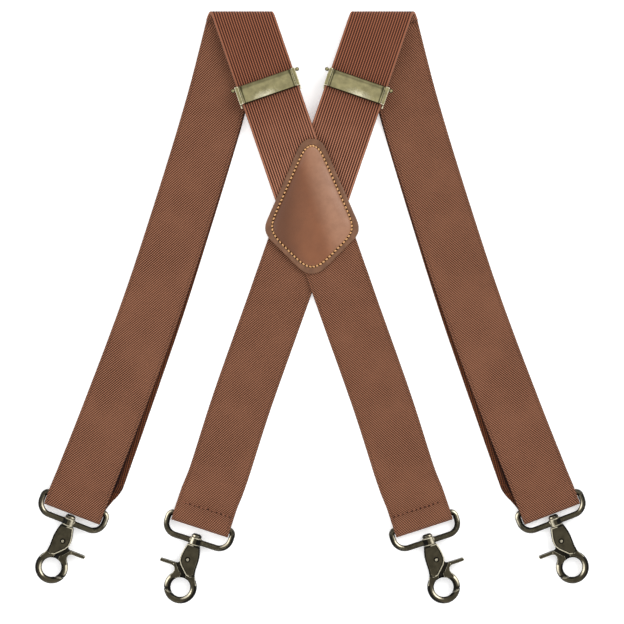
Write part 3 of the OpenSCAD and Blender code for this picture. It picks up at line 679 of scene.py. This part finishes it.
def make_patch_front():
    """The padded leather: its rim, the hollow along the stitches, and the swell inside them, ring by ring."""
    rings, zones, sunk = [], [], []

    def ring(inset, lift, zone, scale=1.0, holes=False):
        xy = kite(inset, ease_at(inset) if scale == 1 else 5.0 + 14.0 * (1 - scale))
        xy = PATCH_MIDDLE + (xy - PATCH_MIDDLE) * scale
        depth = hole_depth(inset) if holes else np.zeros(AROUND)
        rings.append(np.column_stack([xy, patch_base(xy[:, 1]) + lift - 0.7 * depth]))
        zones.append(np.full(AROUND, zone))
        sunk.append(depth)

    rim = ((8, 0.02), (1.0, 0.02), (0.35, 0.05), (0.08, 0.25), (0.0, 0.6), (0.06, 1.0), (0.25, 1.26),
           (0.6, 1.38), (1.2, 1.4), (2.0, 1.38), (2.8, 1.3))
    for inset, lift in rim:
        ring(inset, lift, 0.0)
    for inset in np.arange(3.2, 5.6, 0.2):
        groove = 0.5 * math.exp(-((inset - STITCH_INSET) / GROOVE_W) ** 2)
        within = inset > STITCH_INSET
        rise = dome(1 - (inset - STITCH_INSET) / 25) if within else 0.0
        ring(inset, LEATHER_T - 0.08 - groove + rise, float(within), holes=True)
    for k in (0.94, 0.92, 0.89, 0.86, 0.82, 0.78, 0.73, 0.68, 0.62, 0.55, 0.48, 0.4, 0.32, 0.24, 0.16, 0.08):
        ring(STITCH_INSET, LEATHER_T + dome(k), 1.0, scale=k)
    quads = tube_faces(len(rings), AROUND)[0]
    top = len(rings) * AROUND
    points = np.vstack(rings + [[[*PATCH_MIDDLE, rings[-1][:, 2].max()]]])
    last = top - AROUND
    fan = [(last + (i + 1) % AROUND, last + i, top) for i in range(AROUND)]
    faces = turned_over(quads) + [tuple(range(AROUND))] + fan
    zones, sunk = np.append(np.concatenate(zones), 1.0), np.append(np.concatenate(sunk), 0.0)
    ob = add_mesh("patch_leather", points, faces, zone=zones, sunk=sunk)
    dress(ob, LEATHER, "leather", "root", "patch_front", "patch_padding")


def make_patch_back():
    rings, zones, sunk = [], [], []
    profile = [(9, 0.0)]
    profile += [(i, 0.45 * math.exp(-((i - STITCH_INSET) / 0.5) ** 2)) for i in np.arange(5.6, 3.0, -0.2)]
    profile += [(1.0, 0.0), (0.4, 0.08), (0.1, 0.3), (0.0, 0.7)]
    profile += [(0.1, 1.1), (0.4, 1.32), (1.0, 1.4), (9, 1.4)]
    for inset, z in profile:
        rings.append(np.column_stack([kite(inset, ease_at(inset)), np.full(AROUND, z)]))
        zones.append(np.zeros(AROUND))
        sunk.append(hole_depth(inset) * (z < 0.6))
    quads, caps = tube_faces(len(rings), AROUND)
    faces = turned_over(quads + caps)
    zones, sunk = np.concatenate(zones), np.concatenate(sunk)
    ob = add_mesh("patch_back_leather", np.vstack(rings), faces, zone=zones, sunk=sunk)
    dress(ob, LEATHER, "leather", "root", "patch_back")
    x, y = kite(0, ease_at(0)).T


def thread_bits(name, spots, radius, holes=()):
    """Short arched lengths of thread. A spot is (middle, direction, length, lift of the middle).
    The holes are dark bits of painted shade where the needle went in, drawn the same way."""
    points, faces, lie = [], [], []
    around, rows = 10, 9
    bits = [(*spot, 1) for spot in spots] + [(*spot, -1) for spot in holes]
    for middle, heading, length, arch, shade in bits:
        t = unit(np.array(heading, float))
        side = unit(np.cross([0, 0, 1.0], t))
        up = np.cross(t, side)
        offset = len(points)
        for i in range(rows):
            s = -1 + 2 * i / (rows - 1)
            swell = max(0.08, (1 - abs(s) ** 4)) ** 0.5
            centre = np.array(middle) + t * s * length / 2 + up * arch * (1 - s * s)
            for j in range(around):
                a = 2 * math.pi * j / around
                points.append(centre + radius * swell * (side * math.cos(a) + up * math.sin(a) * 0.85))
                lie.append((radius * a, s * length / 2, shade))
        quads, caps = tube_faces(rows, around, offset)
        faces += quads + caps
    return add_mesh(name, np.array(points), faces, lie=np.array(lie))


def make_patch_stitches():
    line = kite(STITCH_INSET, ease_at(STITCH_INSET))
    top, under = [], []
    for i in range(STITCHES):
        a, b = line[i * PER_STITCH + 1], line[(i + 1) * PER_STITCH - 1]
        middle, heading = (a + b) / 2, np.append(b - a, 0)
        normal = np.array([heading[1], -heading[0], 0]) / np.linalg.norm(heading)
        slant = heading + normal * np.linalg.norm(heading) * (0.28 + random.uniform(-0.1, 0.1))
        length = 1.75 + random.uniform(-0.15, 0.12)
        z = float(patch_base(middle[1])) + LEATHER_T - 0.17
        top.append(((*middle, z), slant, length, 0.32))
        under.append(((*middle, 0.42), heading, length, -0.05))
    ob = thread_bits("patch_stitches", top + under, 0.54)
    dress(ob, THREAD, "thread", "root", "patch_stitching")


def make_seams():
    """The row across each hem, and the hidden one on each tail."""
    across = np.array([math.cos(BACK["turn"]), -math.sin(BACK["turn"]), 0])
    down = np.array([-math.sin(BACK["turn"]), -math.cos(BACK["turn"]), 0])
    z = float(hem_level(HEM_SEAM)) + 0.71
    pitch, row = 2.9, range(-5, 6)
    for side in ("left", "right"):
        flip = mirror(side)
        spots, holes = [], []
        for i in row:
            u = i * pitch + random.uniform(-0.2, 0.2)
            wander = random.uniform(-0.3, 0.3)
            middle = np.array([*axis_point(BACK, HEM_SEAM + wander), z]) + across * u
            heading = across + [0, random.uniform(-0.25, 0.25), 0]
            spots.append((middle * flip, heading * flip, 1.7 + random.uniform(-0.3, 0.2), 0.2))
            # painted shade: a dark mark where each needle hole is
            mark = middle + across * pitch / 2 + down * random.uniform(0.2, 0.7) + [0, 0, 0.1]
            holes.append((mark * flip, (across + down * 0.6) * flip, random.uniform(0.9, 1.5), 0.2))
        ob = thread_bits(side + "_hem_seam", spots, 0.45, holes)
        dress(ob, SEAM, "thread", "root", side + "_hem_stitching")
        spots = []
        for i in row:
            ends = place_adjuster([[i * pitch + d, 14.2, TAIL_LOW + LAYER + 0.8] for d in (-0.9, 0.9)]) * flip
            spots.append((ends.mean(0), ends[1] - ends[0], 1.9, 0.15))
        ob = thread_bits(side + "_tail_seam", spots, 0.34)
        dress(ob, SEAM, "thread", side + "_adjuster", side + "_tail_stitching")


# ---------- cast metal ----------
def hook_matrix(kind, side):
    """From a hook's own frame to the row frame, in millimetres."""
    hook = FRONT if kind == "front" else BACK
    m = Matrix.Translation((hook["x"], hook["y"], HOOK_Z)) @ Matrix.Rotation(-hook["turn"], 4, "Z")
    flip = Matrix.Scale(-1, 4, (1, 0, 0))
    if kind == "front":
        m = m @ flip
    return flip @ m if side == "right" else m


def adjuster_matrix(side):
    m = Matrix.Translation((*ADJUSTER, 0)) @ Matrix.Rotation(TURN, 4, "Z")
    return Matrix.Scale(-1, 4, (1, 0, 0)) @ m if side == "right" else m


def rounded_copy(node, matrix, voxel, passes):
    """(points, faces) of a CAD node in its own frame, in millimetres, remeshed and with its edges eased."""
    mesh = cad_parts[node].data.copy()
    mesh.transform(matrix.inverted() @ Matrix.Scale(1 / MM, 4))
    ob = bpy.data.objects.new("scratch", mesh)
    bpy.context.scene.collection.objects.link(ob)
    remesh = ob.modifiers.new("remesh", "REMESH")
    remesh.mode, remesh.voxel_size = "VOXEL", voxel
    smooth = ob.modifiers.new("smooth", "SMOOTH")
    smooth.factor, smooth.iterations = 0.5, passes
    dg = bpy.context.evaluated_depsgraph_get()
    made = ob.evaluated_get(dg).to_mesh()
    points = np.zeros(len(made.vertices) * 3)
    made.vertices.foreach_get("co", points)
    faces = [tuple(p.vertices) for p in made.polygons]
    ob.evaluated_get(dg).to_mesh_clear()
    bpy.data.objects.remove(ob)
    return points.reshape(-1, 3), faces


def spread(values, edges, count, rounds):
    """Averages a value over each point's neighbours."""
    degree = np.bincount(edges.ravel(), minlength=count)[:, None]
    for _ in range(rounds):
        total = np.zeros_like(values)
        for axis in range(values.shape[1]):
            total[:, axis] = (np.bincount(edges[:, 0], values[edges[:, 1], axis], count)
                              + np.bincount(edges[:, 1], values[edges[:, 0], axis], count))
        values = 0.4 * values + 0.6 * total / np.maximum(degree, 1)
    return values


def surface_facts(points, faces, scale):
    """Each point's normal, and how strongly the surface bulges (above 0) or dips (below 0) there."""
    f = np.array([q for q in faces if len(q) == 4])
    sides = np.vstack([f[:, [0, 1]], f[:, [1, 2]], f[:, [2, 3]], f[:, [3, 0]]])
    edges = np.unique(np.sort(sides, axis=1), axis=0)
    corner = np.cross(points[f[:, 2]] - points[f[:, 0]], points[f[:, 3]] - points[f[:, 1]])
    normal = np.zeros_like(points)
    for k in range(4):
        np.add.at(normal, f[:, k], corner)
    normal = normal / np.maximum(np.linalg.norm(normal, axis=1, keepdims=True), 1e-12)
    smooth = spread(points, edges, len(points), scale)
    bulge = np.einsum("ij,ij->i", points - smooth, normal)
    bulge = spread(bulge[:, None], edges, len(points), 2)[:, 0]
    return normal, bulge


def outline_distance(points, outline):
    """Distance from each point to the nearest side of a closed outline, seen from above."""
    p, best = points[:, :2], np.full(len(points), 1e9)
    ring = np.array(outline, float)
    for a, b in zip(ring, np.roll(ring, -1, axis=0)):
        t = np.clip((p - a) @ (b - a) / ((b - a) @ (b - a)), 0, 1)[:, None]
        best = np.minimum(best, np.linalg.norm(p - (a + t * (b - a)), axis=1))
    return best


SHANK_YS = np.linspace(-2.65, -12, 7)
SHANK_HALF = 4.1 + 1.8 * np.sin(np.pi / 2 * np.minimum(1, (-2.65 - SHANK_YS) / 9.4))
SHANK_TIP = [(5.9, -18), (6.3, -20.6), (4.2, -22.6), (1.1, -22), (0.4, -21.3), (-1.7, -19.2), (-4.2, -16.6),
             (-5.6, -14.2)]
SHANK = (list(zip(SHANK_HALF, SHANK_YS)) + SHANK_TIP
         + [(-w, y) for w, y in zip(SHANK_HALF[::-1], SHANK_YS[::-1])])
TAB = [(-7.4, -16.3), (-16.7, -16.3), (-17.7, -17.35), (-16.7, -18.4), (-7.4, -18.4)]


def dish(points, outline, level, rim, depth, window):
    """Sinks a flat face inside its outline, so that a rim stands round it."""
    x0, x1, y0, y1 = window
    on_face = (np.abs(points[:, 2]) > level) & (points[:, 0] > x0) & (points[:, 0] < x1)
    on_face &= (points[:, 1] > y0) & (points[:, 1] < y1)
    inside = ease(rim, rim + 0.5, outline_distance(points, outline)) * on_face
    points[:, 2] -= np.sign(points[:, 2]) * depth * inside


LIT_SIDE = unit(np.array([-0.56, 0.3, 0.78]))  # the way that the side of a hook with the painted highlight faces


def cast(node, matrix, voxel, passes, relief=None, tone=None, one_sided=1.0, reach=10, gain=5.5):
    """The rounded shape of a CAD metal part, with its polish and painted light: its raised edges are polished
    bright and its hollows dark, one side has a painted highlight, and the far side and the steep faces have
    painted shade."""
    points, faces = rounded_copy(node, matrix, voxel, passes)
    if relief:
        relief(points)
    normal, bulge = surface_facts(points, faces, reach)
    upward = np.column_stack([normal[:, 0], normal[:, 1], np.abs(normal[:, 2])])
    wear = np.clip(bulge * gain, -1, 1)
    # painted highlight: a narrow bright lobe on the faces turned towards LIT_SIDE
    wear = np.maximum(wear, one_sided * np.clip(upward @ LIT_SIDE, 0, 1) ** 11)
    # painted shade on the steep faces and on the side turned away
    wall = np.maximum(1 - upward[:, 2], one_sided * ease(0.05, 0.36, normal[:, 0]))
    if tone:
        wear = tone(points, upward, wear)
    return dict(points=points, faces=faces, wear=wear, wall=wall)


def set_cast(shape, name, matrix, material, slot, body, node):
    m = np.array(matrix)
    points = shape["points"] @ m[:3, :3].T + m[:3, 3]
    faces = shape["faces"]
    if np.linalg.det(m[:3, :3]) < 0:
        faces = turned_over(faces)
    ob = add_mesh(name, points, faces, wear=shape["wear"], wall=shape["wall"])
    dress(ob, material, slot, body, node)


def shank_relief(points):
    dish(points, SHANK, 2.9, 0.75, 0.28, (-7, 7, -21.5, -3.2))


def tab_relief(points):
    dish(points, TAB, 1.8, 0.42, 0.2, (-17.4, -8.5, -18.1, -16.6))


def gate_mark(points, wear):
    """The dark joint where the lever's half of the ring meets the fixed half."""
    angle = np.degrees(np.arctan2(points[:, 1] + RING_DROP, points[:, 0])) % 360
    mark = (1 - ease(2.5, 6.5, np.abs(angle - GATE_ANGLE))) * (points[:, 1] < -28)
    return wear * (1 - mark) - 0.95 * mark


def shank_tone(points, upward, wear):
    """A painted highlight along the rim down the lever's side of each face, a band of painted shade down the
    other, and a dark ring round the rivet."""
    flat = (upward[:, 2] > 0.8) & (np.abs(points[:, 2]) > 2.6)
    middle = np.interp(points[:, 1], [-22, -18, -14, -2], [3.0, 1.5, 0.1, 0.0])
    inset = outline_distance(points, SHANK)
    rim = 1 - ease(0.35, 0.9, inset)
    # painted highlight along the rim on the lever's side
    wear = np.where(flat & (points[:, 0] < middle), np.maximum(wear, rim * 0.6), wear)
    # painted shade in a band down the other side
    shaded = (1 - ease(0.7, 1.3, inset)) * (points[:, 0] > middle) * (points[:, 1] > -21.5)
    wear = wear * (1 - shaded) - 0.85 * shaded
    wear = gate_mark(points, wear)
    r = np.hypot(points[:, 0] - PIVOT[0], points[:, 1] - PIVOT[1])
    ring = ease(1.95, 1.5, r) * (np.abs(points[:, 2]) > 2.2)
    return wear * (1 - ring) - 0.9 * ring


def lever_tone(points, upward, wear):
    """Painted shade where the lever goes into the body, and a little paler on the tab's flat top."""
    x, y, z = points.T
    # painted shade where the lever goes into the body
    near = 1 - ease(1.6, 2.6, outline_distance(points, SHANK))
    near = np.maximum(near, (np.abs(z) < 1.5) & (y > -21) & (x > -7))
    near = near * (x > -8.4) * (y > -24.5)
    tab = (upward[:, 2] > 0.85) & (x < -8.5)
    wear = np.where(tab, np.maximum(wear, 0.2), wear)
    return gate_mark(points, wear * (1 - near) - near)


def flap_tone(points, upward, wear):
    """A painted highlight, paler towards the middle of the lip, and painted shade at both ends, along the
    hinge and on the lip's steep front face.
    """
    top = upward[:, 2] > 0.7
    # painted highlight towards the lip
    rise = (1 - ease(-5.0, 3.5, points[:, 1])) * top
    middle = np.exp(-((points[:, 0] + 3) / 9) ** 2)
    wear = np.maximum(wear, (0.12 + 0.4 * middle) * rise)
    # painted shade at both ends and along the hinge
    half = np.abs(points[:, 0]).max()
    ends = np.exp(-((half - 1.1 - np.abs(points[:, 0])) / 0.55) ** 2) * top
    crown = ease(1.5, 5.0, points[:, 1]) * top * 0.4
    wear = wear * (1 - ends) - 0.55 * ends - crown
    # painted shadow: the lip's steep front face is black
    wall = (upward[:, 1] < -0.4) & (points[:, 1] < -4.0)
    return np.where(wall, -1.0, wear)


def flap_relief(points):
    """A little wider, to close the gaps beside it, and with its lip raked outward."""
    points[:, 0] *= 1.033
    drop = np.clip(FLAP_TOP - points[:, 2], 0, 3)
    points[:, 1] -= 0.24 * drop * ease(-3.4, -4.4, points[:, 1])


def make_rivet(name, matrix, body, node):
    """A peened rivet: a low dome at each end of a short shaft, polished on top, with painted shade on its
    side and below.
    """
    upper = [(0.4, 3.64), (0.8, 3.52), (1.1, 3.25), (1.1, 3.0), (1.0, 2.0)]
    # polished paler on the dome's top, with painted shade on its side and the shaft below
    rubbed_and_painted_light = [0.42, 0.4, 0.1, -0.4, -0.5]
    profile = upper + [(r, -z) for r, z in reversed(upper)]
    around = 32
    turns = [2 * math.pi * j / around for j in range(around)]
    points = np.array([(PIVOT[0] + r * math.cos(t), PIVOT[1] + r * math.sin(t), z)
                       for r, z in profile for t in turns])
    quads, caps = tube_faces(len(profile), around)
    shape = dict(points=points, faces=turned_over(quads + caps), wall=np.zeros(len(points)),
                 wear=np.repeat(rubbed_and_painted_light + rubbed_and_painted_light[::-1], around))
    set_cast(shape, name, matrix, BRONZE, "antique_bronze", body, node)


def add_heel(lever):
    """The lever's heel, which closes the round hole of the ring below the slot; it is painted black as the
    shade in that recess.
    """
    r, half_t = RING_HOLE_R, 1.25
    turns = np.radians(np.linspace(118, 66, 12))
    outline = [(r * math.cos(t), r * math.sin(t) - RING_DROP) for t in turns]
    outline += [(2.2, -23.2), (1.6, -20.6), (0.9, -18.6), (-3.2, -19.5), (-4.6, -23.0)]
    n, first = len(outline), len(lever["points"])
    points = [(x, y, z) for z in (-half_t, half_t) for x, y in outline]
    faces = [tuple(range(n, 2 * n)), tuple(range(n - 1, -1, -1))]
    faces += [((i + 1) % n, i, n + i, n + (i + 1) % n) for i in range(n)]
    lever["points"] = np.vstack([lever["points"], points])
    lever["faces"] = [tuple(f) for f in lever["faces"]] + [tuple(first + i for i in f) for f in faces]
    # painted shade: the heel is black all over
    lever["wear"] = np.append(lever["wear"], np.full(2 * n, -0.9))
    lever["wall"] = np.append(lever["wall"], np.ones(2 * n))


def make_hooks():
    """Each part is shaped once, from the back left hook, and set in place four times."""
    own = hook_matrix("back", "left")
    loop = cast("back_left_loop", own, 0.22, 4, reach=14)
    body = cast("back_left_hook", own, 0.2, 3, shank_relief, shank_tone)
    lever = cast("back_left_trigger", own, 0.17, 3, tab_relief, lever_tone)
    add_heel(lever)
    for kind in ("front", "back"):
        for side in ("left", "right"):
            hook, m = kind + "_" + side, hook_matrix(kind, side)
            for shape, piece, rides, node in ((loop, "_swivel_loop", "_swivel_loop", "_loop"),
                                              (body, "_snap_body", "_snap", "_hook"),
                                              (lever, "_thumb_lever", "_lever", "_trigger")):
                set_cast(shape, hook + piece, m, BRONZE, "antique_bronze", hook + rides, hook + node)
            make_rivet(hook + "_peened_rivet", m, hook + "_snap", hook + "_rivet")
            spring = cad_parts[hook + "_spring"]
            spring.data.materials.clear()
            spring.data.materials.append(STEEL)


def make_adjusters():
    """Each part is shaped once, from the left adjuster, and set in place twice."""
    own = adjuster_matrix("left")
    base = cast("left_adjuster_frame", own, 0.2, 3, one_sided=0.2)
    flap = cast("left_adjuster_flap", own, 0.17, 2, flap_relief, flap_tone, 0.1)
    pin = cast("left_hinge_pin", own, 0.15, 2, one_sided=0.2)
    pin["wear"] = pin["wear"] - 0.35
    parts = (
        (base, "_brass_frame", "_adjuster", "_adjuster_frame"),
        (flap, "_brass_flap", "_cover", "_adjuster_flap"),
        (pin, "_brass_pin", "_adjuster", "_hinge_pin"),
    )
    for side in ("left", "right"):
        m = adjuster_matrix(side)
        for shape, piece, body, node in parts:
            set_cast(shape, side + piece, m, BRASS, "antique_brass", side + body, side + node)


# ---------- floor, light and camera ----------
CAMERA_UP, LENS, SENSOR = 1.479, 135.0, 36.0
MIDDLE_Y = -0.00284
FLOOR_HALF, FLOOR_Z = 6.0, -0.0004


def make_stage():
    """A plain white floor that glows a little, so that the shadows on it stay faint."""
    mesh = bpy.data.meshes.new("floor")
    corners = ((-1, -1), (1, -1), (1, 1), (-1, 1))
    mesh.from_pydata([(x * FLOOR_HALF, y * FLOOR_HALF, FLOOR_Z) for x, y in corners], [], [(0, 1, 2, 3)])
    floor = bpy.data.objects.new("floor", mesh)
    bpy.context.scene.collection.objects.link(floor)
    p = Paint("floor")
    pale = p.blend(p.noise(p.place(), 9.0), (0.93, 0.93, 0.93), (0.95, 0.95, 0.95))
    p.set(Base_Color=pale, Roughness=0.95, Specular_IOR_Level=0.1)
    p.set(Emission_Color=(1, 1, 1), Emission_Strength=0.3)
    mesh.materials.append(p.mat)


def make_lamp(name, place, target, size, power):
    data = bpy.data.lights.new(name, "AREA")
    data.shape, data.energy = "RECTANGLE", power
    data.size, data.size_y = size
    lamp = bpy.data.objects.new(name, data)
    lamp.location = place
    lamp.rotation_euler = (Vector(target) - Vector(place)).to_track_quat("-Z", "Y").to_euler()
    bpy.context.scene.collection.objects.link(lamp)


def make_studio():
    world = bpy.data.worlds.new("studio")
    bpy.context.scene.world = world
    world.use_nodes = True
    back = world.node_tree.nodes["Background"]
    back.inputs[0].default_value = (1, 1, 1, 1)
    back.inputs[1].default_value = 1.0
    make_lamp("key", (0.95, 0.7, 1.25), (0, 0, 0), (1.0, 1.0), 13.0)
    make_lamp("side", (-1.25, 0.15, 0.75), (0, 0.02, 0), (0.5, 1.2), 6.0)
    make_lamp("low", (-0.2, -1.4, 0.7), (0, -0.05, 0), (1.2, 0.4), 4.0)


def make_camera():
    data = bpy.data.cameras.new("camera")
    data.lens, data.sensor_width, data.sensor_fit = LENS, SENSOR, "HORIZONTAL"
    data.clip_start, data.clip_end = 0.05, 20
    camera = bpy.data.objects.new("camera", data)
    camera.location = (0, MIDDLE_Y, CAMERA_UP)
    bpy.context.scene.collection.objects.link(camera)
    bpy.context.scene.camera = camera
    bpy.context.scene.view_settings.view_transform = "Standard"


make_straps()
make_patch_front()
make_patch_back()
make_patch_stitches()
make_seams()
make_hooks()
make_adjusters()
make_stage()
make_studio()
make_camera()
